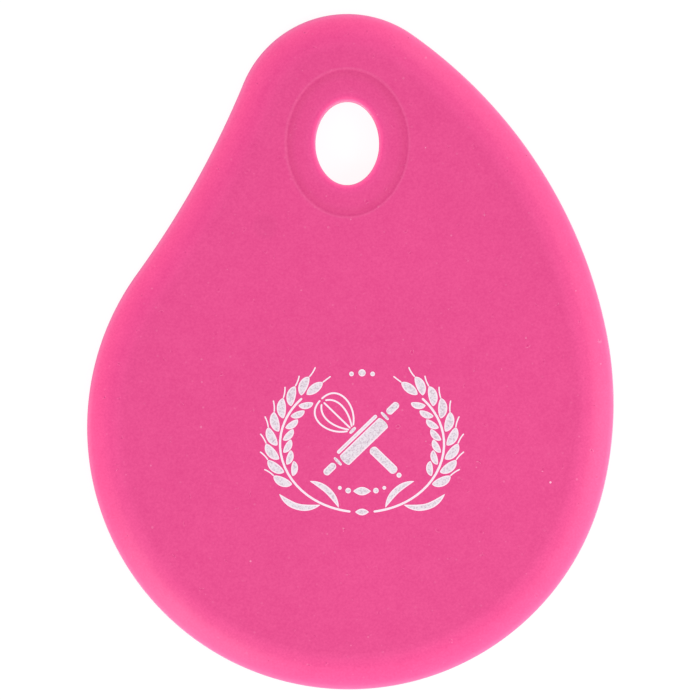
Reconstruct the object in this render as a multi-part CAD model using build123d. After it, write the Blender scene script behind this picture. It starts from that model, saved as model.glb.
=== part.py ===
from build123d import *
import math
import os

# Bowl scraper: a drop-shaped silicone blade over a stiff steel core.
# It lies on its back: +Z leaves the printed face and +Y points to the hanging hole.
# The origin is under the middle of the outline, on the plane that the blade rests on.

# Outline: the belly and the nose are round, the hollow flank joins them at the left,
# and the cheek and the long flank join them at the right, each arc passing smoothly
# into the next where the outline faces in the direction named here
belly_radius = 47.3
nose_radius = 20.3
nose_rise = 54.4
nose_lean = 0.3
hollow_radius = 167.0
cheek_direction = -14.0
flank_direction = 11.0
nose_direction = 55.0

# Section of the silicone: a flat middle, a rim that thins in one long arc,
# and a rounded scraping edge
blade_thickness = 5.0
taper_width = 7.0
edge_radius = 0.65

# Hanging hole with a rounded edge, in a shallow oval recess with a leaning wall
hole_width = 11.5
hole_height = 15.2
hole_drop = 3.1
hole_edge_radius = 0.3
hole_edge_steps = 3
recess_width = 21.5
recess_height = 26.0
recess_step = 0.1
recess_wall_run = 0.4

# Core: a sheet of spring steel, let into the back skin up to the parting plane
core_thickness = 0.5
core_margin = 1.0
core_hole_margin = 2.2
core_gap = 0.05

# Keying holes near the core's edge, filled by pegs of the back skin
key_hole_count = 8
key_hole_diameter = 4.5
key_hole_margin = 7.0

# How far a cutting shape runs past the face that it cuts
overrun = 1.0

quarter_turn = 90.0
half_turn = 180.0
full_turn = 360.0
upward = Vector(0, 0, 1)

half_thickness = blade_thickness / 2
core_inset = taper_width + core_margin
key_hole_inset = core_inset + key_hole_margin


def facing(angle):
    """Unit vector in the plane of the blade, at an angle from +X."""
    return Vector(math.cos(math.radians(angle)), math.sin(math.radians(angle)))


def angle_of(vector):
    """Angle of a vector in the plane of the blade, from +X."""
    return math.degrees(math.atan2(vector.Y, vector.X))


def hollow_middle():
    """Centre of the arc that touches the belly and the nose from outside, on their left."""
    belly_reach = hollow_radius + belly_radius
    nose_reach = hollow_radius + nose_radius
    span = nose_centre - belly_centre
    along = (belly_reach**2 - nose_reach**2 + span.length**2) / (2 * span.length)
    across = math.sqrt(belly_reach**2 - along**2)
    forward = span.normalized()
    return belly_centre + forward * along + upward.cross(forward) * across


def cheek_and_flank_radii():
    """Radii with which two arcs, turning at the named directions, join belly and nose.

    Each step from one arc's centre to the next is the difference of their radii along
    the direction at which they meet, and the steps add up to the way from the belly's
    centre to the nose's. That gives two equations for the two radii.
    """
    start, change, end = facing(cheek_direction), facing(flank_direction), facing(nose_direction)
    way = nose_centre - belly_centre - start * belly_radius + end * nose_radius
    cheek_share, flank_share = change - start, end - change
    turn = cheek_share.cross(flank_share).Z
    return way.cross(flank_share).Z / turn, cheek_share.cross(way).Z / turn


# Centres of the arcs, measured from the centre of the belly
belly_centre = Vector(0, 0, 0)
nose_centre = Vector(-nose_lean, nose_rise, 0)
hole_centre = nose_centre - Vector(0, hole_drop, 0)
hollow_centre = hollow_middle()
cheek_radius, flank_radius = cheek_and_flank_radii()
cheek_centre = belly_centre - facing(cheek_direction) * (cheek_radius - belly_radius)
flank_centre = nose_centre - facing(nose_direction) * (flank_radius - nose_radius)


def outline_arcs(inset):
    """Centre, radius, first angle and turn of each arc of the outline, drawn in by an inset."""
    hollow_start = angle_of(hollow_centre - nose_centre)
    belly_start = angle_of(hollow_centre - belly_centre)
    rounded = [
        (belly_centre, belly_radius, belly_start, cheek_direction),
        (cheek_centre, cheek_radius, cheek_direction, flank_direction),
        (flank_centre, flank_radius, flank_direction, nose_direction),
        (nose_centre, nose_radius, nose_direction, hollow_start),
    ]
    arcs = [
        (centre, radius - inset, first, (last - first) % full_turn)
        for centre, radius, first, last in rounded
    ]
    hollow_turn = (belly_start - hollow_start) % -full_turn
    arcs.append((hollow_centre, hollow_radius + inset, hollow_start + half_turn, hollow_turn))
    return arcs


def outline(inset):
    """Closed wire that runs parallel to the scraping edge."""
    return Wire([CenterArc(*arc).edge() for arc in outline_arcs(inset)])


def outline_point(inset, angle):
    """Where a ray from the belly's centre crosses the parallel outline."""
    ray = facing(angle)
    for centre, radius, first, turn in outline_arcs(inset):
        middle = ray.dot(centre)
        reach_squared = radius**2 - centre.dot(centre) + middle**2
        if reach_squared < 0:
            continue
        for reach in (middle + math.sqrt(reach_squared), middle - math.sqrt(reach_squared)):
            swing = (angle_of(ray * reach - centre) - first) * math.copysign(1, turn)
            if reach > 0 and swing % full_turn <= abs(turn):
                return ray * reach
    raise ValueError("the ray misses the outline")


def oval(width, height, level, margin=0.0):
    """Ellipse about the hanging hole's axis, at a height above the parting plane."""
    plane = Plane(origin=hole_centre + upward * level)
    return plane * Ellipse(width / 2 + margin, height / 2 + margin)


def core_profile(gap):
    """Shape of the core with its keying holes, let out all round by a gap."""
    pitch = full_turn / key_hole_count
    key_hole = Circle(key_hole_diameter / 2 - gap)
    holes = [oval(hole_width, hole_height, 0, core_hole_margin - gap)]
    for i in range(key_hole_count):
        holes.append(Pos(outline_point(key_hole_inset, pitch * (i + 1 / 2))) * key_hole)
    return Face(outline(core_inset - gap)) - holes


def rim_section():
    """Half section of the rim, drawn with the scraping edge's tip at its origin."""
    reach = taper_width - edge_radius
    rise = half_thickness - edge_radius
    taper_radius = (reach**2 + half_thickness**2 - edge_radius**2) / (2 * rise)
    taper_centre = Vector(-taper_width, half_thickness - taper_radius)
    edge_centre = Vector(-edge_radius, 0)
    meeting = angle_of(edge_centre - taper_centre)
    foot = Vector(-taper_width, 0)
    crest = Vector(-taper_width, half_thickness)
    return Wire(
        [
            Line(foot, crest).edge(),
            CenterArc(taper_centre, taper_radius, quarter_turn, meeting - quarter_turn).edge(),
            CenterArc(edge_centre, edge_radius, meeting, -meeting).edge(),
            Line(Vector(0, 0, 0), foot).edge(),
        ]
    )


def solid_half():
    """Upper half of the blade with nothing cut, from the parting plane to its face."""
    edge = outline(0)
    outward = (edge @ 0 - belly_centre).normalized()
    section_plane = Plane(origin=edge @ 0, x_dir=outward, z_dir=outward.cross(upward))
    rim = sweep(section_plane * Face(rim_section()), path=edge)
    return extrude(Face(outline(taper_width)), half_thickness) + rim


def hanging_cut():
    """Recess with a leaning wall and a level floor, and the upper half of the hole."""
    floor_level = half_thickness - recess_step
    mouth = oval(recess_width, recess_height, half_thickness, recess_wall_run)
    foot = oval(recess_width, recess_height, floor_level)
    rings = []
    for i in range(hole_edge_steps + 1):
        swing = math.radians(quarter_turn * i / hole_edge_steps)
        level = floor_level - hole_edge_radius * (1 - math.cos(swing))
        margin = hole_edge_radius * (1 - math.sin(swing))
        rings.append(oval(hole_width, hole_height, level, margin))
    rings.append(oval(hole_width, hole_height, 0))
    recess = extrude(mouth, overrun) + loft([mouth, foot], ruled=True)
    return recess + loft(rings, ruled=True)


outline_middle = Face(outline(0)).bounding_box().center()
place = Pos(upward * half_thickness - outline_middle)
blade_half = solid_half() - hanging_cut()
pocket = extrude(core_profile(core_gap), -core_thickness)
nodes = {
    "front_skin": blade_half,
    "back_skin": mirror(blade_half, about=Plane.XY) - pocket,
    "stiffener_core": extrude(core_profile(0), -core_thickness),
}

os.makedirs("parts", exist_ok=True)
for name, shape in nodes.items():
    export_step(place * shape, f"parts/{name}.step")
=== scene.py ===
import math

import bpy
import numpy as np
from bpy.props import FloatProperty, FloatVectorProperty, IntProperty, PointerProperty
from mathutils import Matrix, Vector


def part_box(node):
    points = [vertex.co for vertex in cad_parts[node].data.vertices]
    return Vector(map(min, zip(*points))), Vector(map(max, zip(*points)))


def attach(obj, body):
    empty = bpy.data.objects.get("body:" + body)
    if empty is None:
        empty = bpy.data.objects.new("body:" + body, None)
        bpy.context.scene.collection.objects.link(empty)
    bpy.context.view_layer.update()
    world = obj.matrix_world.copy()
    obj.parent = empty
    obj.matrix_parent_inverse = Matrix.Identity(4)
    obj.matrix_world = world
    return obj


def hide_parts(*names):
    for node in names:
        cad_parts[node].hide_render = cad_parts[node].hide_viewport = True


bl_info = {
    "name": "Bowl scraper looks",
    "version": (1, 0, 0),
    "blender": (4, 5, 0),
    "location": "3D View > Sidebar > Scraper",
    "description": "Silicone skins, printed ornament and stage for a drop-shaped bowl scraper",
    "category": "Object",
}

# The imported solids, whose boxes give the thickness and the place of the parting plane
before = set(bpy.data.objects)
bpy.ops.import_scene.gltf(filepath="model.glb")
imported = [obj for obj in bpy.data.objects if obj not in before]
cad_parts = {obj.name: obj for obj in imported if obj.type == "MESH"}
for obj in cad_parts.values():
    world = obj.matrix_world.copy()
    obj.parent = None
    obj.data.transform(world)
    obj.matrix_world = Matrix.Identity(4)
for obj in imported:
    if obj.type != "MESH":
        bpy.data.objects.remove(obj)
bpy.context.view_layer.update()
front_low, front_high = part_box("front_skin")
core_low, core_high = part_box("stiffener_core")

MM = 0.001

# Points round the outline where a place on it is looked up
FINE_COUNT = 7200

# Everything beyond the recess has this share of the way from the hole's oval to the recess's
FAR_SHARE = 1.25


def length(name, description, millimetres):
    """Property for a length, shown in the scene's units."""
    return FloatProperty(
        name=name, description=description, default=millimetres * MM, unit="LENGTH", precision=5
    )


def turn(name, description, degrees):
    """Property for an angle."""
    return FloatProperty(
        name=name, description=description, default=math.radians(degrees), unit="ROTATION"
    )


def linear(code):
    """Linear colour of an sRGB hex value."""
    share = np.array([int(code[i : i + 2], 16) for i in (1, 3, 5)]) / 255
    low, high = share / 12.92, ((share + 0.055) / 1.055) ** 2.4
    return (*np.where(share <= 0.04045, low, high).tolist(), 1.0)


def colour(name, description, code):
    """Property for a colour, from its sRGB hex value."""
    return FloatVectorProperty(
        name=name,
        description=description,
        default=linear(code),
        size=4,
        subtype="COLOR",
        min=0,
        max=1,
    )


class BladeSizes(bpy.types.PropertyGroup):
    """Sizes of the blade's outline, section, hanging hole and core."""

    belly_radius: length("Belly radius", "Radius of the broad end", 47.3)
    nose_radius: length("Nose radius", "Radius of the end with the hanging hole", 20.3)
    nose_rise: length("Nose rise", "How far the nose's centre is past the belly's", 54.4)
    nose_lean: length("Nose lean", "How far the nose's centre is to the left of the belly's", 0.3)
    hollow_radius: length("Hollow radius", "Radius of the hollow flank at the left", 167.0)
    cheek_direction: turn("Cheek direction", "Where the belly passes into the cheek", -14.0)
    flank_direction: turn("Flank direction", "Where the cheek passes into the long flank", 11.0)
    nose_direction: turn("Nose direction", "Where the long flank passes into the nose", 55.0)
    taper_width: length("Rim width", "Width of the rim that thins to the edge", 7.0)
    edge_radius: length("Edge radius", "Rounding of the scraping edge", 0.65)
    flash_width: length("Flash", "Height and width of the fine ridge where two moulds met", 0.04)
    shrink: length("Shrink", "How far the ridge's crest stays inside the nominal outline", 0.01)
    hole_width: length("Hole width", "Hanging hole, across the blade", 11.5)
    hole_height: length("Hole height", "Hanging hole, along the blade", 15.2)
    hole_drop: length("Hole drop", "How far the hole is below the nose's centre", 3.1)
    recess_width: length("Recess width", "Oval recess round the hole, across the blade", 21.5)
    recess_height: length("Recess height", "Oval recess round the hole, along the blade", 26.0)
    recess_step: length("Recess step", "Height of the recess's wall", 0.1)
    recess_wall_run: length("Wall run", "How far the recess's wall leans outwards", 0.4)
    hole_edge_radius: length("Hole's edge", "Rounding of the hole's edge", 0.3)
    core_margin: length("Core margin", "How far the core ends inside the rim", 1.0)
    core_hole_margin: length("Core hole margin", "Silicone between hanging hole and core", 2.2)
    core_gap: length("Core gap", "Moulding gap round the core's edges", 0.05)
    peg_diameter: length("Peg diameter", "Silicone peg in each of the core's keying holes", 4.4)
    peg_margin: length("Peg margin", "How far inside the core's edge the pegs stand", 7.0)
    peg_count: IntProperty(name="Pegs", description="Number of keying pegs", default=8)


class PrintSizes(bpy.types.PropertyGroup):
    """Place and sizes of the printed ornament."""

    centre_x: length("Across", "Middle of the ornament, to the right of the blade's", 2.1)
    centre_y: length("Along", "Middle of the ornament, towards the hanging hole", -16.7)
    wreath_width: length("Wreath half width", "From the middle to the ear's stalk", 14.75)
    wreath_height: length("Wreath half height", "From the middle to the stalk's lowest point", 12.2)
    grain_length: length("Grain length", "Length of one grain of wheat", 3.6)
    grain_width: length("Grain half width", "Half the width of one grain", 0.82)
    line_width: length("Line half width", "Half the width of the thin lines", 0.2)
    film: length("Film", "Thickness of the ink", 0.03)


class FinishColours(bpy.types.PropertyGroup):
    """Colours of the silicone, the ink, the core and the stage."""

    # From body to tip these grow lighter by painted glow: the light that passes through the
    # thinning silicone is painted into these colours
    body: colour("Silicone", "Silicone over the opaque core", "#D72E7C")
    shoulder: colour("Shoulder", "Silicone half way across the rim", "#E63484")
    slope: colour("Slope", "Silicone where the rim meets the flat middle", "#DE3381")
    rim: colour("Rim", "Silicone where the rim is thin", "#FA4C93")
    tip: colour("Scraping edge", "Silicone at the very edge", "#FC70AA")
    # Painted shade in the pits, which have no relief of their own
    pit_shade: colour("Pits", "Silicone in the pits of its surface", "#C8006C")
    # Also the colour of the painted sheen of the grain and of the painted highlight along the
    # recess's crest
    dust_and_sheen: colour("Dust", "Pale specks that matte silicone holds", "#FFC4DC")
    ink: colour("Ink", "White print", "#DED4DC")
    thin_ink: colour("Thin ink", "White print where the film is thin", "#B49AAC")
    thick_ink: colour("Thick ink", "White print along the border of each stroke", "#EEDAE6")
    steel: colour("Steel", "Cold-rolled sheet", "#C2C2C5")
    floor: colour("Floor", "Pale floor and backdrop", "#F2F2F2")


# Curves of the outline


def facing(angle):
    """Unit vector or vectors in the plane of the blade, at an angle from +X."""
    return np.stack([np.cos(angle), np.sin(angle)], axis=-1)


def angle_of(vector):
    """Angle of a vector from +X."""
    return math.atan2(vector[1], vector[0])


def outline_arcs(sizes):
    """Centre, radius, first angle and turn of the outline's five arcs.

    The belly's centre is the origin. The hollow arc touches belly and nose from outside,
    so its centre lies at the sum of the radii from each. The steps from the belly's centre
    to the cheek's, the flank's and the nose's are each a difference of two radii along the
    direction in which the arcs meet, which gives two linear equations for the two radii.
    """
    belly, nose = sizes.belly_radius, sizes.nose_radius
    nose_centre = np.array([-sizes.nose_lean, sizes.nose_rise])
    span = np.linalg.norm(nose_centre)
    belly_reach, nose_reach = sizes.hollow_radius + belly, sizes.hollow_radius + nose
    along = (belly_reach**2 - nose_reach**2 + span**2) / (2 * span)
    across = math.sqrt(belly_reach**2 - along**2)
    forward = nose_centre / span
    hollow_centre = forward * along + np.array([-forward[1], forward[0]]) * across
    meets = [sizes.cheek_direction, sizes.flank_direction, sizes.nose_direction]
    start, change, end = (facing(angle) for angle in meets)
    shares = np.column_stack([change - start, end - change])
    cheek, flank = np.linalg.solve(shares, nose_centre - start * belly + end * nose)
    hollow_start = angle_of(hollow_centre - nose_centre)
    belly_start = angle_of(hollow_centre)
    centres = np.array(
        [
            np.zeros(2),
            start * (belly - cheek),
            nose_centre + end * (nose - flank),
            nose_centre,
            hollow_centre,
        ]
    )
    radii = np.array([belly, cheek, flank, nose, sizes.hollow_radius])
    firsts = np.array([belly_start, *meets, hollow_start + math.pi])
    turns = (np.array([*meets, hollow_start, 0]) - firsts) % math.tau
    turns[-1] = (belly_start - hollow_start) % -math.tau
    return centres, radii, firsts, turns


def outline(sizes, count):
    """Points at even steps of arc length round the blade, and the ways out from them.

    A point is its arc's centre plus the radius along the spoke at the angle reached, and
    the way out is that spoke, or its opposite on the hollow arc, which turns backwards.
    """
    centres, radii, firsts, turns = outline_arcs(sizes)
    runs = radii * np.abs(turns)
    ends = np.cumsum(runs)
    reach = np.arange(count) / count * ends[-1]
    arc = np.searchsorted(ends, reach, side="right")
    hand = np.sign(turns[arc])
    spokes = facing(firsts[arc] + hand * (reach - (ends - runs)[arc]) / radii[arc])
    points = centres[arc] + radii[arc, None] * spokes
    return points, hand[:, None] * spokes


def outline_shift(sizes):
    """From the belly's centre to the middle of the outline's box."""
    points, _ = outline(sizes, FINE_COUNT)
    return (points.min(axis=0) + points.max(axis=0)) / 2


# Meshes


def new_piece(name, points, faces, material, shares=None, sharp=60):
    """Object at the origin from points, arrays of faces with three or four corners, and shares.

    It rides on the one body and takes the record's material slot. Its shading breaks where
    faces meet at more than the angle called sharp, in degrees.
    """
    corners = np.concatenate([f.ravel() for f in faces])
    sides = np.concatenate([np.full(len(f), f.shape[1]) for f in faces])
    mesh = bpy.data.meshes.new(name)
    mesh.vertices.add(len(points))
    mesh.vertices.foreach_set("co", points.astype(np.float32).ravel())
    mesh.loops.add(len(corners))
    mesh.loops.foreach_set("vertex_index", corners.astype(np.int32))
    mesh.polygons.add(len(sides))
    mesh.polygons.foreach_set("loop_start", (np.cumsum(sides) - sides).astype(np.int32))
    mesh.update(calc_edges=True)
    mesh.set_sharp_from_angle(angle=math.radians(sharp))
    for label, values in (shares or {}).items():
        layer = mesh.attributes.new(label, "FLOAT", "POINT")
        layer.data.foreach_set("value", values.astype(np.float32).ravel())
    mesh.materials.append(material)
    piece = bpy.data.objects.new(name, mesh)
    bpy.context.scene.collection.objects.link(piece)
    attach(piece, "root")
    return piece


def ring_faces(rows, columns):
    """Quads of a grid whose rows and columns both close on themselves."""
    row, column = np.arange(rows)[:, None], np.arange(columns)[None, :]
    after_row, after_column = (row + 1) % rows, (column + 1) % columns
    corners = [
        row * columns + column,
        row * columns + after_column,
        after_row * columns + after_column,
        after_row * columns + column,
    ]
    return np.stack(corners, axis=-1).reshape(-1, 4)


def ease(share):
    """Smooth step from 0 to 1."""
    share = np.clip(share, 0, 1)
    return share * share * (3 - 2 * share)


def rim_rows(sizes, half):
    """Inset and height of the rim's section from the scraping edge to the flat middle.

    The edge is an arc of the edge's radius, on which the moulds left a ridge that fades
    as the exponential of the height squared. The taper is one arc that leaves the edge's
    arc where both face the same way and ends level at the flat middle.
    """
    edge, width = sizes.edge_radius, sizes.taper_width
    taper = ((width - edge) ** 2 + half**2 - edge**2) / (2 * (half - edge))
    meeting = math.atan2(taper - half, width - edge)
    near = np.array([0, 0.025, 0.05, 0.09, 0.15, 0.3, 0.5, 0.7, 0.87]) * meeting
    far = np.linspace(meeting, math.pi / 2, 18)
    inset = np.concatenate([edge * (1 - np.cos(near)), width - taper * np.cos(far)])
    height = np.concatenate([edge * np.sin(near), half + taper * (np.sin(far) - 1)])
    behind = (sizes.shrink + flash_ridge(sizes, height)) * (1 - inset / width)
    return inset + behind, height


def flash_ridge(sizes, height):
    """How far the surface lies behind the ridge's crest at a height above the parting."""
    return sizes.flash_width * (1 - np.exp(-((height / sizes.flash_width) ** 2)))


def hole_rows(sizes, half):
    """How far outside the hole, and how high, the rows of the recess and the hole lie.

    They come in level over four rings outside the recess, go down its wall as a line rounded
    at both ends, level along its floor, round the hole's edge as a quarter circle, and
    straight down to the ridge at the parting plane. The first value is a share of the way
    from the hole's oval to the recess's, and the second a width outside that.
    """
    floor, edge, run = half - sizes.recess_step, sizes.hole_edge_radius, sizes.recess_wall_run
    outside = np.array([2.0, 1.2, 0.6, 0.25]) * run
    down = np.linspace(0, 1, 9)
    level = np.linspace(0.97, 0, 10)[:-1]
    swing = np.linspace(0, math.pi / 2, 11)
    wall = np.array([1, 0.5, 0.1, 0.05, 0.025, 0]) * (floor - edge)
    at_recess, at_hole = np.ones(len(outside) + len(down)), np.zeros(len(swing) + len(wall))
    share = np.concatenate([at_recess, level, at_hole])
    round_margin = edge * (1 - np.sin(swing))
    beside = [run + outside, run * (1 - down), edge * (1 - level), round_margin]
    beside = np.concatenate([*beside, flash_ridge(sizes, wall)])
    wall_rise = ((1 - down) * 2 + ease(1 - down)) / 3
    heights = [outside * 0 + half, floor + sizes.recess_step * wall_rise, level * 0 + floor]
    heights = np.concatenate([*heights, floor - edge * (1 - np.cos(swing)), wall])
    return share, beside, heights


def skin_grid(sizes, half, face_drop, pocket, count):
    """Rows of points of one skin, outwards positive in height, with shares for its colour.

    Each row runs round the blade. The rows go up the rim's section along the way in from
    the outline, straight across the flat middle to the oval recess, through the recess
    and the hole down to the parting plane, and back along that plane, over the core's
    pocket if it has one.
    """
    edge, outward = outline(sizes, count)
    hole = np.array([-sizes.nose_lean, sizes.nose_rise - sizes.hole_drop])
    bore = np.array([sizes.hole_width, sizes.hole_height]) / 2
    recess = np.array([sizes.recess_width, sizes.recess_height]) / 2
    inset, rise = rim_rows(sizes, half)
    rim = edge - inset[:, None, None] * outward
    spoke = (rim[-1] - hole) / (recess + bore)
    oval = spoke / np.linalg.norm(spoke, axis=1)[:, None]

    share, beside, depth = hole_rows(sizes, half)
    axes = bore + share[:, None] * (recess - bore) + beside[:, None]
    ovals = hole + axes[:, None, :] * oval
    across = np.array([0.03, 0.1, 0.2, 0.3, 0.4, 0.5, 0.6, 0.7, 0.8, 0.9, 0.96])
    flat = rim[-1] + across[:, None, None] * (ovals[0] - rim[-1])

    rows, heights = [rim, flat, ovals], [rise, np.full(len(flat), half), depth]
    if pocket:
        gap = sizes.core_gap
        inner = hole + (bore + sizes.core_hole_margin - gap) * oval
        outer = edge - (sizes.taper_width + sizes.core_margin - gap) * outward
        rows.append(np.stack([inner, inner, outer, outer]))
        heights.append(np.array([0, pocket, pocket, 0]))
    rows, heights = np.concatenate(rows), np.concatenate(heights)
    heights = heights * (1 - face_drop / half)

    rim_share, hole_share = np.ones(len(rows)), np.full(len(rows), FAR_SHARE)
    rim_share[: len(inset)] = np.clip(inset / sizes.taper_width, 0, 1)
    first = len(rim) + len(flat)
    last = first + len(axes)
    hole_share[first:last] = (axes - bore).mean(axis=1) / (recess - bore).mean()
    hole_share[last:] = 0
    shares = {
        "rim_share": np.repeat(rim_share, count),
        "hole_share": np.repeat(hole_share, count),
    }
    return rows, heights, shares


def skin_piece(name, sizes, side, face_drop, pocket, material):
    """Closed surface of one skin: side is 1 for the front and -1 for the back."""
    count = 720
    half, parting = front_high.z - front_low.z, front_low.z
    rows, heights, shares = skin_grid(sizes, half, face_drop, pocket, count)
    level = parting + side * np.broadcast_to(heights[:, None], rows.shape[:2])
    points = np.dstack([rows - outline_shift(sizes), level]).reshape(-1, 3)
    faces = ring_faces(len(rows), count)[:, ::side]
    return new_piece(name, points, [faces], material, shares)


def peg_middles(sizes):
    """Where rays from the belly's centre cross the line on which the pegs stand."""
    edge, outward = outline(sizes, FINE_COUNT)
    line = edge - (sizes.taper_width + sizes.core_margin + sizes.peg_margin) * outward
    bearing = np.arctan2(line[:, 1], line[:, 0])
    wanted = (np.arange(sizes.peg_count) + 0.5) * math.tau / sizes.peg_count
    miss = np.abs((bearing[None, :] - wanted[:, None] + math.pi) % math.tau - math.pi)
    return line[miss.argmin(axis=1)] - outline_shift(sizes)


def peg_mesh(sizes, low, high):
    """Points and faces of the pegs, each a cylinder: a profile of four rings turned about
    its axis, of which the first and last are drawn in to one point.
    """
    middles = peg_middles(sizes)
    sides = 32
    ring = facing(np.arange(sides) * math.tau / sides) * sizes.peg_diameter / 2
    rims = np.concatenate([ring, ring])
    levels = np.concatenate([np.full(sides, low), np.full(sides, high), [low, high]])
    flat = np.concatenate([rims, np.zeros((2, 2))])
    places = middles[:, None, :] + flat
    points = np.dstack([places, np.broadcast_to(levels, places.shape[:2])])
    here, after = np.arange(sides), (np.arange(sides) + 1) % sides
    walls = np.stack([here, after, after + sides, here + sides], axis=1)
    under = np.stack([after, here, np.full(sides, 2 * sides)], axis=1)
    over = np.stack([here + sides, after + sides, np.full(sides, 2 * sides + 1)], axis=1)
    steps = (np.arange(len(middles)) * len(flat))[:, None, None]
    faces = [(f[None] + steps).reshape(-1, f.shape[1]) for f in (walls, under, over)]
    return points.reshape(-1, 3), faces


# Printed ornament, of strokes: each is a cubic curve with a half width, the run over which
# its ends close, and how sharply they close: 0.5 gives round ends and 1 gives pointed ones


def strokes(controls, half_width, end_run, sharpness):
    """Table of strokes with the same half width, end run and sharpness, or one value each."""
    controls = np.asarray(controls, dtype=float)
    count = len(controls)
    values = [np.broadcast_to(v, count) for v in (half_width, end_run, sharpness)]
    return controls, np.stack(values, axis=1)


def straight(starts, ends):
    """Control points of straight strokes."""
    starts, ends = np.asarray(starts, float), np.asarray(ends, float)
    return starts[:, None] + (ends - starts)[:, None] * (np.arange(4) / 3)[None, :, None]


def arc_controls(firsts, lasts, axes):
    """Control points of arcs of an ellipse, with handles of 4/3 tan(turn/4) of the speed."""
    firsts, lasts = np.asarray(firsts, float), np.asarray(lasts, float)
    handle = (4 / 3 * np.tan((lasts - firsts) / 4))[:, None]
    start, end = facing(firsts) * axes, facing(lasts) * axes
    leave, arrive = facing(firsts + math.pi / 2) * axes, facing(lasts + math.pi / 2) * axes
    return np.stack([start, start + handle * leave, end - handle * arrive, end], axis=1)


def bowed(starts, ends, bow):
    """Control points of strokes that bow to their left by a share of their length."""
    line = straight(starts, ends)
    way = line[:, 3] - line[:, 0]
    left = np.stack([-way[:, 1], way[:, 0]], axis=1) * np.broadcast_to(bow, len(way))[:, None]
    return line + left[:, None] * np.array([0, 4 / 3, 4 / 3, 0])[None, :, None]


def along_stalk(axes, degrees):
    """Points on the stalk's ellipse and the unit ways along it."""
    at = np.radians(np.asarray(degrees, float))
    along = facing(at + math.pi / 2) * axes
    return facing(at) * axes, along / np.linalg.norm(along, axis=1)[:, None]


def wheat_ear(sizes):
    """Strokes of the right ear: stalk on an ellipse, grains on both sides, awns and leaves."""
    axes = np.array([sizes.wreath_width, sizes.wreath_height])
    line, grain, width = sizes.line_width, sizes.grain_length, sizes.grain_width
    join = 0.02 * MM
    stalk = arc_controls(np.radians([-82.0]), np.radians([43.0]), axes)
    made = [strokes(stalk, line, line, 0.5)]

    # Side of the stalk, size, first and last place in degrees, count, and spread of the grains
    for side, size, first, last, count, fan in (
        (1, 1.0, -34, 44, 8, 0.46),
        (-1, 0.74, -29, 37, 7, 0.66),
    ):
        root, along = along_stalk(axes, np.linspace(first, last, count))
        aside = np.stack([along[:, 1], -along[:, 0]], axis=1) * side
        start = root + aside * line * 2.4
        way = along * math.cos(fan) + aside * math.sin(fan)
        tip = start + way * grain * size
        body = bowed(start, tip, -0.1 * side)
        made.append(strokes(body, width * size, grain * size / 2, 0.7))
        if side > 0:
            awn = tip + way * join
            reach = (way + along * 0.55) * grain * 0.38
            made.append(strokes(bowed(awn, awn + reach, 0.05), line * 0.6, line * 0.7, 0.5))

    top, along = along_stalk(axes, [47.5])
    made.append(strokes(straight(top, top + along * grain), width, grain / 2, 0.7))
    awn = top + along * (grain + join)
    made.append(strokes(straight(awn, awn + along * grain / 2), line * 0.6, line * 0.7, 0.5))

    roots = np.array([[4.2, -11.38], [7.5, -10.85]]) * MM
    tips = np.array([[9.4, -6.6], [14.9, -8.9]]) * MM
    made.append(strokes(bowed(roots, tips, [0.13, -0.18]), width * 0.7, grain * 0.9, 0.9))
    return made


def crossed_tools(sizes):
    """Strokes of a rolling pin, and of a whisk that passes behind it."""
    tilt = math.radians(44)
    turn_pin = np.array([facing(tilt), facing(tilt + math.pi / 2)])
    bars = np.array(
        [
            # from, to along the pin, offset across it, half width, end run
            (-5.2, 5.2, -0.5, 1.2, 0.45),
            (-4.9, 4.9, 1.3, 0.33, 0.3),
            (-6.15, -5.6, 0.2, 0.95, 0.2),
            (5.6, 6.15, 0.2, 0.95, 0.2),
            (-9.2, -6.55, 0.2, 0.66, 0.6),
            (6.55, 9.2, 0.2, 0.66, 0.6),
        ]
    )
    starts, ends = bars[:, [0, 2]] @ turn_pin * MM, bars[:, [1, 2]] @ turn_pin * MM
    made = [strokes(straight(starts, ends), bars[:, 3] * MM, bars[:, 4] * MM, 0.5)]

    turn_whisk = np.array([facing(math.pi - tilt), facing(math.pi * 3 / 2 - tilt)])
    grip = np.array(
        [
            # from, to along the whisk, offset, half width, end run of eye, handle and collar
            (-9.7, -8.8, 0, 0.45, 0.42),
            (-8.5, -2.25, 0, 0.8, 0.7),
            (2.05, 2.65, 0, 0.75, 0.2),
        ]
    )
    starts, ends = grip[:, [0, 2]] @ turn_whisk * MM, grip[:, [1, 2]] @ turn_whisk * MM
    made.append(strokes(straight(starts, ends), grip[:, 3] * MM, grip[:, 4] * MM, 0.5))
    wires = np.array(
        [
            [(2.9, 0.7), (5.0, 3.9), (10.3, 4.4), (10.3, 0.16)],
            [(2.9, 0.35), (5.2, 2.0), (8.3, 2.6), (9.65, 0.46)],
            [(2.9, 0.0), (5.0, 0.0), (7.0, 0.0), (9.6, 0.0)],
        ]
    )
    wires = np.concatenate([wires, wires[:2] * np.array([1, -1])])
    line = sizes.line_width
    made.append(strokes(wires @ turn_whisk * MM, line * 0.78, line, 0.5))
    return [(controls + np.array([0, 0.9 * MM]), values) for controls, values in made]


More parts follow.
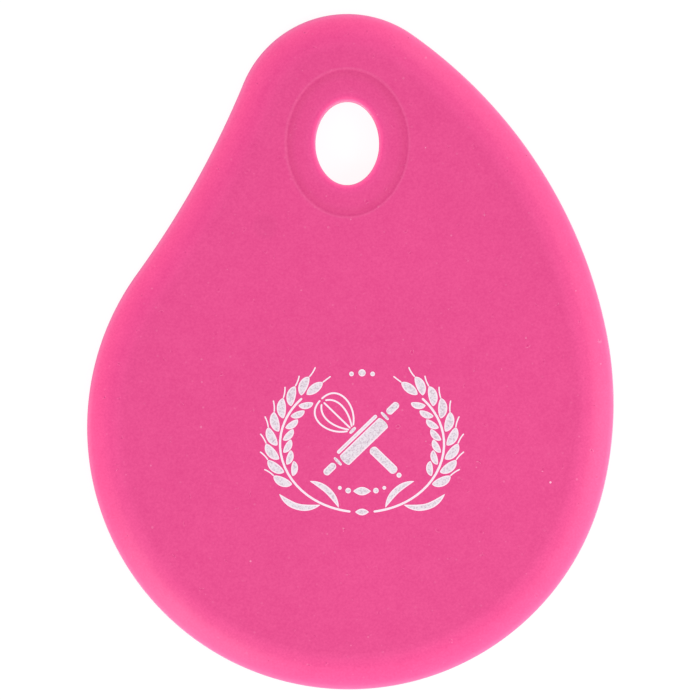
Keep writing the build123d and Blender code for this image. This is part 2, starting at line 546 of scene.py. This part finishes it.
def small_ornament(sizes):
    """Strokes of the diamonds and dots at the wreath's foot and head."""
    dots = np.array(
        [
            # across, along, half length, half width, sharpness
            (0.0, -12.15, 1.25, 0.6, 1.0),
            (0.0, -8.4, 1.6, 0.75, 1.0),
            (-2.5, -8.3, 0.5, 0.5, 0.5),
            (2.5, -8.3, 0.5, 0.5, 0.5),
            (-4.0, -7.8, 0.34, 0.34, 0.5),
            (4.0, -7.8, 0.34, 0.34, 0.5),
            (0.0, 12.9, 0.65, 0.65, 0.5),
            (-1.9, 12.7, 0.42, 0.42, 0.5),
            (1.9, 12.7, 0.42, 0.42, 0.5),
        ]
    )
    middle, half = dots[:, :2] * MM, np.outer(dots[:, 2], [1, 0]) * MM
    bars = straight(middle - half, middle + half)
    return [strokes(bars, dots[:, 3] * MM, dots[:, 2] * MM, dots[:, 4])]


def stroke_mesh(tables, samples, low, high):
    """Points and quads of thin closed strips.

    A strip's middle follows the cubic curve, sampled closely at both ends. Its half width
    is the full one times (1 - (1 - run / end run) squared) to the power of the sharpness
    near an end, and the section is a flat rectangle. The shares say which side of the strip
    a point is on, -1 or 1, and how wide the strip is there.
    """
    controls = np.concatenate([c for c, _ in tables])
    half_width, end_run, sharpness = np.concatenate([v for _, v in tables]).T
    t = (1 - np.cos(np.linspace(0, math.pi, samples))) / 2
    weights = np.stack([(1 - t) ** 3, 3 * t * (1 - t) ** 2, 3 * t**2 * (1 - t), t**3])
    slopes = np.stack(
        [-3 * (1 - t) ** 2, 3 * (1 - t) * (1 - 3 * t), 3 * t * (2 - 3 * t), 3 * t**2]
    )
    middle = np.einsum("skd,kt->std", controls, weights)
    way = np.einsum("skd,kt->std", controls, slopes)
    way /= np.maximum(np.linalg.norm(way, axis=2), 1e-9)[:, :, None]
    aside = np.stack([-way[:, :, 1], way[:, :, 0]], axis=2)
    steps = np.linalg.norm(np.diff(middle, axis=1), axis=2)
    run = np.concatenate([np.zeros((len(steps), 1)), np.cumsum(steps, axis=1)], axis=1)
    to_end = np.minimum(run, run[:, -1:] - run) / end_run[:, None]
    fade = 1 - (1 - np.clip(to_end, 0, 1)) ** 2
    half = np.maximum(half_width[:, None] * fade ** sharpness[:, None], 0.01 * MM)
    left, right = middle + aside * half[:, :, None], middle - aside * half[:, :, None]
    flat = np.stack([left, left, right, right], axis=2)
    levels = np.broadcast_to(np.array([high, low, low, high]), flat.shape[:3])
    points = np.concatenate([flat, levels[..., None]], axis=3)
    corner = np.arange(4)
    rows = np.arange(samples - 1)[:, None] * 4
    after = (corner + 1) % 4
    walls = np.stack([rows + corner, rows + 4 + corner, rows + 4 + after, rows + after], axis=2)
    last = (samples - 1) * 4
    caps = np.array([[0, 1, 2, 3], [last + 3, last + 2, last + 1, last]])
    faces = np.concatenate([walls.reshape(-1, 4), caps])
    starts = np.arange(len(controls))[:, None, None] * samples * 4
    shares = {
        "stroke_side": np.broadcast_to(np.array([-1, -1, 1, 1]), flat.shape[:3]),
        "stroke_width": np.repeat(half / MM, 4),
    }
    return points.reshape(-1, 3), (faces[None] + starts).reshape(-1, 4), shares


# Materials


def add_node(tree, kind, settings=None, values=None, links=None):
    """Adds a shader node with its properties, its sockets' values, and what feeds them.

    A socket is fed by another socket, or by the first one that a node gives out.
    """
    node = tree.nodes.new("ShaderNode" + kind)
    for key, value in (settings or {}).items():
        setattr(node, key, value)
    for key, value in (values or {}).items():
        node.inputs[key].default_value = value
    for key, source in (links or {}).items():
        if isinstance(source, bpy.types.Node):
            source = source.outputs[0]
        tree.links.new(source, node.inputs[key])
    return node


def new_material(name):
    """Empty material and its node tree."""
    material = bpy.data.materials.new(name)
    material.use_nodes = True
    material.node_tree.nodes.clear()
    return material, material.node_tree


def set_stops(node, stops):
    """Sets a colour ramp's stops, given as places and colours, on a smooth curve."""
    ramp = node.color_ramp
    ramp.interpolation = "CARDINAL"
    while len(ramp.elements) < len(stops):
        ramp.elements.new(1.0)
    for element, (place, shade) in zip(ramp.elements, stops):
        element.position = place
        element.color = shade


def set_curve(node, points):
    """Sets the points of a float curve."""
    curve = node.mapping.curves[0]
    while len(curve.points) < len(points):
        curve.points.new(1.0, 1.0)
    for point, place in zip(curve.points, points):
        point.location = place
    node.mapping.update()


def per_metre(millimetres):
    """Texture scale whose features are that many millimetres wide."""
    return 1 / (millimetres * MM)


def silicone_material(colours, spot):
    """Platinum-cured silicone rubber, pressed in a bead-blasted mould.

    The blasted mould leaves a fine grain, so it is matte with a soft wide highlight.
    Pigment makes it nearly opaque: over the core it is deeper in colour, and where the
    blade thins to its edge or to the hole, the light that passes through is painted into
    its colour as a brighter glow. The corner under the recess's wall and the pits have
    painted shade, and the dust colour also paints part of the grain's sheen and a
    highlight along the wall's crest.
    """
    material, tree = new_material("silicone_moulded_matte")
    place = add_node(tree, "TexCoord").outputs["Object"]
    rim = add_node(tree, "Attribute", {"attribute_name": "rim_share"}).outputs["Fac"]
    hole = add_node(tree, "Attribute", {"attribute_name": "hole_share"}).outputs["Fac"]

    # How deep the silicone is, from 0 at an edge to 1 over the core: it grows across the
    # rim, and over about 3 mm from the hole's rounded edge
    near = add_node(tree, "MapRange", values={"From Max": FAR_SHARE}, links={"Value": hole})
    beside_hole = add_node(tree, "FloatCurve", links={"Value": near})
    steps = [(0, 0.06), (0.024, 0.07), (0.048, 0.15), (0.08, 0.3), (0.12, 0.52), (0.16, 0.68)]
    set_curve(beside_hole, [*steps, (0.24, 0.85), (0.36, 0.96), (0.48, 1), (1, 1)])
    deep = add_node(tree, "Math", {"operation": "MINIMUM"}, links={0: rim, 1: beside_hole})

    # Colour by depth, painted lighter towards the thin edges as a glow for the light that passes
    # through them
    across = add_node(tree, "ValToRGB", links={"Fac": deep})
    stops = [colours.tip, colours.rim, colours.shoulder, colours.slope, colours.body]
    set_stops(across, list(zip((0.0, 0.135, 0.55, 0.8, 1.0), stops)))

    # Tint by the distance from the hole: the hole's edge gets a little less painted glow than
    # the thin rim, and the corner under the recess's wall gets painted shade, deeper in colour.
    # The alpha is a painted highlight along the wall's crest, mixed in with the dust colour
    corner = add_node(tree, "ValToRGB", links={"Fac": near})
    stops = [
        (0.0, (0.95, 0.96, 0.97, 0.0)),
        (0.1, (0.95, 0.97, 0.98, 0.0)),
        (0.2, (0.98, 1.0, 1.0, 0.0)),
        (0.5, (1.0, 1.0, 1.0, 0.0)),
        (0.64, (0.955, 0.92, 0.94, 0.0)),
        (0.72, (0.933, 0.8, 0.88, 0.0)),
        (0.77, (0.91, 0.64, 0.86, 0.0)),
        (0.803, (0.9, 0.56, 0.84, 0.0)),
        (0.828, (0.95, 0.85, 0.92, 0.0)),
        (0.85, (1.0, 1.0, 1.0, 0.02)),
        (0.872, (1.0, 1.0, 1.0, 0.034)),
        (0.9, (1.0, 1.0, 1.0, 0.009)),
        (0.94, (1.0, 1.0, 1.0, 0.0)),
        (1.0, (1.0, 1.0, 1.0, 0.0)),
    ]
    set_stops(corner, stops)
    painted_glow_and_shade = add_node(tree, "VectorMath", {"operation": "MULTIPLY"}, links={0: across, 1: corner})

    # Faint round spot over one of the core's keying holes
    from_spot = add_node(tree, "VectorMath", {"operation": "DISTANCE"}, {1: spot}, {0: place})
    over_spot = add_node(
        tree,
        "MapRange",
        {"interpolation_type": "SMOOTHSTEP"},
        {"From Min": 1.6 * MM, "From Max": 2.9 * MM, "To Min": 0.965, "To Max": 1.0},
        {"Value": from_spot.outputs["Value"]},
    )

    # Uneven pigment, in clouds 22 mm wide, and the mould's grain: mottles from 4 mm down,
    # and pits drawn 0.4 mm wide
    clouds, mottles, grain = (
        add_node(
            tree,
            "TexNoise",
            values={"Scale": per_metre(width), "Detail": detail, "Roughness": roughness},
            links={"Vector": place},
        )
        for width, detail, roughness in ((22, 2.0, 0.5), (4, 3.0, 0.8), (0.4, 2.0, 0.6))
    )
    uneven = add_node(tree, "Math", {"operation": "MULTIPLY_ADD"}, {1: 2.0}, {0: grain, 2: mottles})
    cloud_shade = add_node(
        tree,
        "MapRange",
        values={"From Min": 0.3, "From Max": 0.7, "To Min": 0.988, "To Max": 1.012},
        links={"Value": clouds},
    )
    grain_shade = add_node(
        tree,
        "MapRange",
        values={"From Min": 1.0, "From Max": 2.0, "To Min": 0.958, "To Max": 1.042},
        links={"Value": uneven},
    )
    mottle = add_node(
        tree, "Math", {"operation": "MULTIPLY"}, links={0: cloud_shade, 1: grain_shade}
    )
    shade = add_node(tree, "Math", {"operation": "MULTIPLY"}, links={0: mottle, 1: over_spot})
    shaded = add_node(
        tree, "VectorMath", {"operation": "SCALE"}, links={"Vector": painted_glow_and_shade, "Scale": shade}
    )

    # Dust and sheen: a thin whitish film that follows the grain unevenly, partly dust and partly
    # painted sheen where the grain catches light; one speck 0.2 to 0.45 mm wide to a cell of
    # 4.5 mm, and fewer short fibres. Most are faint and few are bright: a speck's brightness is
    # a random number from 0 to 1 to a negative power
    rarity_power, fibre_gain, deepest_pit_shade = -0.47, 3.0, 14.0
    cells = add_node(
        tree,
        "TexVoronoi",
        {"voronoi_dimensions": "2D", "feature": "F1"},
        {"Scale": per_metre(4.5), "Randomness": 1.0},
        {"Vector": place},
    )
    chance = add_node(tree, "SeparateColor", links={"Color": cells.outputs["Color"]})
    size = add_node(
        tree,
        "MapRange",
        values={"To Min": 0.02, "To Max": 0.05},
        links={"Value": chance.outputs["Green"]},
    )
    speck = add_node(tree, "Math", {"operation": "LESS_THAN"}, links={0: cells, 1: size})
    rarity = add_node(
        tree, "Math", {"operation": "POWER"}, {1: rarity_power}, {0: chance.outputs["Red"]}
    )
    # The scraping edge and the hole's wall are wiped clean of them
    kept = add_node(
        tree,
        "MapRange",
        values={"From Min": 0.07, "From Max": 0.15, "To Min": 0.0, "To Max": 0.029},
        links={"Value": deep},
    )
    brightness = add_node(tree, "Math", {"operation": "MULTIPLY"}, links={0: rarity, 1: kept})
    film = add_node(
        tree,
        "MapRange",
        values={"From Min": 1.0, "From Max": 2.0, "To Min": 0.0, "To Max": 0.04},
        links={"Value": uneven},
    )
    # The film, with the painted highlight along the recess's crest
    dust_and_sheen = add_node(tree, "Math", {"operation": "ADD"}, links={0: film, 1: corner.outputs["Alpha"]})

    # A fibre is the piece of a contour of a 1.2 mm noise that crosses a spot 1 mm wide
    fibre_cells = add_node(
        tree,
        "TexVoronoi",
        {"voronoi_dimensions": "2D", "feature": "F1"},
        {"Scale": per_metre(7), "Randomness": 1.0},
        {"Vector": place},
    )
    bends = add_node(
        tree,
        "TexNoise",
        {"noise_dimensions": "2D"},
        {"Scale": per_metre(1.2), "Detail": 0.0},
        {"Vector": place},
    )
    contour = add_node(tree, "Math", {"operation": "COMPARE"}, {1: 0.5, 2: 0.012}, {0: bends})
    fibre_spot = add_node(tree, "Math", {"operation": "LESS_THAN"}, {1: 0.07}, {0: fibre_cells})
    fibre = add_node(tree, "Math", {"operation": "MULTIPLY"}, links={0: contour, 1: fibre_spot})
    lint = add_node(
        tree, "Math", {"operation": "MULTIPLY_ADD"}, {1: fibre_gain}, {0: fibre, 2: speck}
    )
    dust_and_sheen_share = add_node(
        tree, "Math", {"operation": "MULTIPLY_ADD"}, links={0: lint, 1: brightness, 2: dust_and_sheen}
    )

    # Painted shade of a pit 0.3 mm wide at the middle of each spot, some faint and some deep
    pit_shade = add_node(
        tree,
        "MapRange",
        values={"From Min": 0.014, "From Max": 0.022, "To Min": deepest_pit_shade, "To Max": 0.0},
        links={"Value": fibre_cells},
    )
    pit_shade_share = add_node(tree, "Math", {"operation": "MULTIPLY"}, links={0: pit_shade, 1: brightness})
    pit_shaded = add_node(
        tree, "Mix", {"data_type": "RGBA"}, {"B": colours.pit_shade}, {"Factor": pit_shade_share, "A": shaded}
    )
    dusted_and_sheened = add_node(
        tree,
        "Mix",
        {"data_type": "RGBA"},
        {"B": colours.dust_and_sheen},
        {"Factor": dust_and_sheen_share, "A": pit_shaded.outputs["Result"]},
    )

    polish = add_node(
        tree,
        "MapRange",
        values={"From Min": 0.3, "From Max": 0.7, "To Min": 0.42, "To Max": 0.5},
        links={"Value": clouds},
    )
    relief = add_node(
        tree, "Bump", values={"Strength": 0.6, "Distance": 0.012 * MM}, links={"Height": grain}
    )
    surface = add_node(
        tree,
        "BsdfPrincipled",
        values={"IOR": 1.41, "Specular IOR Level": 0.8},
        links={
            "Base Color": dusted_and_sheened.outputs["Result"],
            "Roughness": polish,
            "Normal": relief,
        },
    )
    add_node(tree, "OutputMaterial", links={"Surface": surface})
    return material


def ink_material(colours):
    """Silicone screen-print ink: a matte white film with fine thin spots.

    The stencil's wall holds more ink, so the film is thicker and whiter along the border of
    each stroke, and thin lines are white right across.
    """
    material, tree = new_material("screen_print_ink_white")
    place = add_node(tree, "TexCoord").outputs["Object"]
    side = add_node(tree, "Attribute", {"attribute_name": "stroke_side"})
    width = add_node(tree, "Attribute", {"attribute_name": "stroke_width"})

    # Distance from the stroke's border, in millimetres: the half width less the same times
    # the distance from the stroke's middle as a share
    from_middle = add_node(tree, "Math", {"operation": "ABSOLUTE"}, links={0: side.outputs["Fac"]})
    to_border = add_node(tree, "Math", {"operation": "SUBTRACT"}, {0: 1.0}, {1: from_middle})
    depth = add_node(
        tree, "Math", {"operation": "MULTIPLY"}, links={0: to_border, 1: width.outputs["Fac"]}
    )
    border = add_node(
        tree,
        "MapRange",
        values={"From Min": 0.12, "From Max": 0.3, "To Min": 1.0, "To Max": 0.0},
        links={"Value": depth},
    )

    # Thin spots about 0.3 mm wide, through which the silicone tints the film
    spots = add_node(
        tree,
        "TexNoise",
        values={"Scale": per_metre(0.3), "Detail": 2.0, "Roughness": 0.6},
        links={"Vector": place},
    )
    thin = add_node(
        tree,
        "MapRange",
        values={"From Min": 0.45, "From Max": 0.75, "To Min": 0.0, "To Max": 1.0},
        links={"Value": spots},
    )
    film = add_node(
        tree,
        "Mix",
        {"data_type": "RGBA"},
        {"A": colours.ink, "B": colours.thin_ink},
        {"Factor": thin},
    )
    edged = add_node(
        tree,
        "Mix",
        {"data_type": "RGBA"},
        {"B": colours.thick_ink},
        {"Factor": border, "A": film.outputs["Result"]},
    )
    relief = add_node(
        tree, "Bump", values={"Strength": 0.5, "Distance": 0.01 * MM}, links={"Height": spots}
    )
    surface = add_node(
        tree,
        "BsdfPrincipled",
        values={"IOR": 1.41, "Roughness": 0.55},
        links={"Base Color": edged.outputs["Result"], "Normal": relief},
    )
    add_node(tree, "OutputMaterial", links={"Surface": surface})
    return material


def steel_material(colours):
    """Cold-rolled spring steel sheet: grey metal with fine marks along the rolling way."""
    material, tree = new_material("spring_steel_cold_rolled")
    place = add_node(tree, "TexCoord").outputs["Object"]
    # The marks are drawn 0.15 mm wide and 6 mm long
    stretched = add_node(
        tree,
        "Mapping",
        values={"Scale": (per_metre(0.15), per_metre(6), per_metre(0.15))},
        links={"Vector": place},
    )
    marks = add_node(
        tree,
        "TexNoise",
        values={"Scale": 1.0, "Detail": 4.0, "Roughness": 0.6},
        links={"Vector": stretched},
    )
    tone = add_node(
        tree,
        "MapRange",
        values={"From Min": 0.3, "From Max": 0.7, "To Min": 0.88, "To Max": 1.05},
        links={"Value": marks},
    )
    metal = add_node(
        tree,
        "Mix",
        {"data_type": "RGBA", "blend_type": "MULTIPLY"},
        {"Factor": 1.0, "A": colours.steel},
        {"B": tone},
    )
    dull = add_node(
        tree,
        "MapRange",
        values={"From Min": 0.3, "From Max": 0.7, "To Min": 0.28, "To Max": 0.42},
        links={"Value": marks},
    )
    relief = add_node(
        tree, "Bump", values={"Strength": 0.3, "Distance": 0.005 * MM}, links={"Height": marks}
    )
    surface = add_node(
        tree,
        "BsdfPrincipled",
        values={"Metallic": 1.0},
        links={
            "Base Color": metal.outputs["Result"],
            "Roughness": dull,
            "Normal": relief,
        },
    )
    add_node(tree, "OutputMaterial", links={"Surface": surface})
    return material


def seen_share(tree):
    """1 for rays of the camera, and for mirrored and refracted ones, so that they see white."""
    path = add_node(tree, "LightPath")
    mirrored = add_node(
        tree,
        "Math",
        {"operation": "MAXIMUM"},
        links={0: path.outputs["Is Glossy Ray"], 1: path.outputs["Is Transmission Ray"]},
    )
    seen = add_node(
        tree,
        "Math",
        {"operation": "MAXIMUM"},
        links={0: path.outputs["Is Camera Ray"], 1: mirrored},
    )
    return seen


def floor_material(colours):
    """Matte white sweep: seen as white, with the object's soft shadow left in it."""
    material, tree = new_material("backdrop_matte_white")
    seen = seen_share(tree)
    matte = add_node(tree, "BsdfDiffuse", values={"Color": colours.floor})
    # A little real shading on a glow, which together are white in full light
    shading, glow = 0.15, 0.88
    dim = add_node(tree, "BsdfDiffuse", values={"Color": (shading, shading, shading, 1.0)})
    lit = add_node(tree, "Emission", values={"Strength": glow})
    white = add_node(tree, "AddShader", links={0: dim, 1: lit})
    either = add_node(tree, "MixShader", links={0: seen, 1: matte, 2: white})
    below = add_node(tree, "NewGeometry").outputs["Backfacing"]
    clear = add_node(tree, "BsdfTransparent")
    surface = add_node(tree, "MixShader", links={0: below, 1: either, 2: clear})
    add_node(tree, "OutputMaterial", links={"Surface": surface})
    return material


def studio_world(strength):
    """Even white light from all round, seen as plain white."""
    world = bpy.data.worlds.new("studio")
    world.use_nodes = True
    tree = world.node_tree
    tree.nodes.clear()
    seen = seen_share(tree)
    level = add_node(
        tree,
        "MapRange",
        values={"From Min": 0.0, "From Max": 1.0, "To Min": strength, "To Max": 1.0},
        links={"Value": seen},
    )
    white = (1.0, 1.0, 1.0, 1.0)
    sky = add_node(tree, "Background", values={"Color": white}, links={"Strength": level})
    add_node(tree, "OutputWorld", links={"Surface": sky})
    return world


# Operators


class SCRAPER_OT_front_skin(bpy.types.Operator):
    """Adds the front skin, whose face stays just under the ink's"""

    bl_idname = "scraper.front_skin"
    bl_label = "Front skin"

    def execute(self, context):
        sizes, ink = context.scene.scraper_blade, context.scene.scraper_print
        spot = (*peg_middles(sizes)[2].tolist(), front_high.z)
        material = silicone_material(context.scene.scraper_colours, spot)
        piece = skin_piece("front_skin_surface", sizes, 1, ink.film * 4 / 3, 0, material)
        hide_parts("front_skin")
        return {"FINISHED"}


class SCRAPER_OT_back_skin(bpy.types.Operator):
    """Adds the back skin, with the core's pocket and the pegs that key the core"""

    bl_idname = "scraper.back_skin"
    bl_label = "Back skin"

    def execute(self, context):
        sizes = context.scene.scraper_blade
        material = bpy.data.materials["silicone_moulded_matte"]
        pocket = core_high.z - core_low.z
        piece = skin_piece("back_skin_surface", sizes, -1, 0, pocket, material)
        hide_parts("back_skin")
        points, faces = peg_mesh(sizes, core_low.z, core_high.z)
        ones = np.ones(len(points))
        shares = {"rim_share": ones, "hole_share": ones}
        new_piece("back_skin_pegs", points, faces, material, shares)
        return {"FINISHED"}


class SCRAPER_OT_core(bpy.types.Operator):
    """Gives the core its steel"""

    bl_idname = "scraper.core"
    bl_label = "Core"

    def execute(self, context):
        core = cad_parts["stiffener_core"]
        core.data.materials.clear()
        core.data.materials.append(steel_material(context.scene.scraper_colours))
        return {"FINISHED"}


class SCRAPER_OT_print(bpy.types.Operator):
    """Adds the printed ornament: crossed tools in a wreath of wheat"""

    bl_idname = "scraper.front_print"
    bl_label = "Print"

    def execute(self, context):
        sizes = context.scene.scraper_print
        ear = wheat_ear(sizes)
        other_ear = [(controls * np.array([-1, 1]), values) for controls, values in ear]
        tables = [*ear, *other_ear, *crossed_tools(sizes), *small_ornament(sizes)]
        # The ink ends a third of its film under the solid's face, to keep within its box,
        # and starts a third of its film inside the skin
        top = front_high.z - sizes.film / 3
        samples = 33
        points, faces, shares = stroke_mesh(tables, samples, top - sizes.film * 4 / 3, top)
        points[:, :2] += np.array([sizes.centre_x, sizes.centre_y])
        material = ink_material(context.scene.scraper_colours)
        new_piece("front_print", points, [faces], material, shares, sharp=30)
        return {"FINISHED"}


class SCRAPER_OT_stage(bpy.types.Operator):
    """Adds the floor, the soft light and the camera"""

    bl_idname = "scraper.stage"
    bl_label = "Stage"

    def execute(self, context):
        scene = context.scene
        reach, under = 2.0, -0.02 * MM
        corners = np.array([[-1, -1], [1, -1], [1, 1], [-1, 1]]) * reach
        points = np.column_stack([corners, np.full(4, under)])
        mesh = bpy.data.meshes.new("floor")
        mesh.from_pydata(points.tolist(), [], [(0, 1, 2, 3)])
        mesh.materials.append(floor_material(scene.scraper_colours))
        floor = bpy.data.objects.new("floor", mesh)
        # Light reaches the back through the floor, which is seen as opaque from above only
        floor.visible_diffuse = floor.visible_shadow = False
        scene.collection.objects.link(floor)

        world_strength = 0.72
        scene.world = studio_world(world_strength)
        # Four soft lamps, from the upper right round to the lower left, and the same under
        # the floor
        lamp_width, away, height = 0.5, 0.71, 0.6
        lamps = (("back", 50, 0.9), ("right", -8, 2.1), ("front", -55, 0.9), ("left", -130, 2.55))
        for place, level in (("key", height), ("under_key", -height)):
            for side, azimuth, watts in lamps:
                name = f"{side}_{place}"
                lamp = bpy.data.lights.new(name, "AREA")
                lamp.shape, lamp.size, lamp.energy = "DISK", lamp_width, watts
                light = bpy.data.objects.new(name, lamp)
                light.location = (*(away * facing(math.radians(azimuth))), level)
                light.rotation_euler = (-light.location).to_track_quat("-Z", "Y").to_euler()
                light.visible_camera = False
                scene.collection.objects.link(light)

        # Straight above, so far away that the blade is seen almost in parallel
        view_width, view_x, view_y, view_z = 126.41 * MM, -0.067 * MM, 0.3 * MM, 2.5 * MM
        eye = bpy.data.cameras.new("camera")
        eye.sensor_width, eye.lens = 36.0, 200.0
        camera = bpy.data.objects.new("camera", eye)
        distance = view_width * eye.lens / eye.sensor_width
        camera.location = (view_x, view_y, view_z + distance)
        scene.collection.objects.link(camera)
        scene.camera = camera
        scene.view_settings.view_transform = "Standard"
        return {"FINISHED"}


class SCRAPER_PT_panel(bpy.types.Panel):
    """Sizes, colours and steps, in the sidebar."""

    bl_idname = "SCRAPER_PT_panel"
    bl_label = "Bowl scraper"
    bl_space_type = "VIEW_3D"
    bl_region_type = "UI"
    bl_category = "Scraper"

    def draw(self, context):
        for step in STEPS:
            self.layout.operator(step.bl_idname)
        scene = context.scene
        for group in (scene.scraper_blade, scene.scraper_print, scene.scraper_colours):
            box = self.layout.box()
            for key in group.__annotations__:
                box.prop(group, key)


STEPS = (
    SCRAPER_OT_front_skin,
    SCRAPER_OT_back_skin,
    SCRAPER_OT_core,
    SCRAPER_OT_print,
    SCRAPER_OT_stage,
)
GROUPS = {
    "scraper_blade": BladeSizes,
    "scraper_print": PrintSizes,
    "scraper_colours": FinishColours,
}


def register():
    for kind in (*GROUPS.values(), *STEPS, SCRAPER_PT_panel):
        bpy.utils.register_class(kind)
    for key, kind in GROUPS.items():
        setattr(bpy.types.Scene, key, PointerProperty(type=kind))


def unregister():
    for key in GROUPS:
        delattr(bpy.types.Scene, key)
    for kind in reversed((*GROUPS.values(), *STEPS, SCRAPER_PT_panel)):
        bpy.utils.unregister_class(kind)


def main():
    """Registers the classes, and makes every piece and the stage."""
    register()
    bpy.ops.scraper.front_skin()
    bpy.ops.scraper.back_skin()
    bpy.ops.scraper.core()
    bpy.ops.scraper.front_print()
    bpy.ops.scraper.stage()


if __name__ == "__main__":
    main()
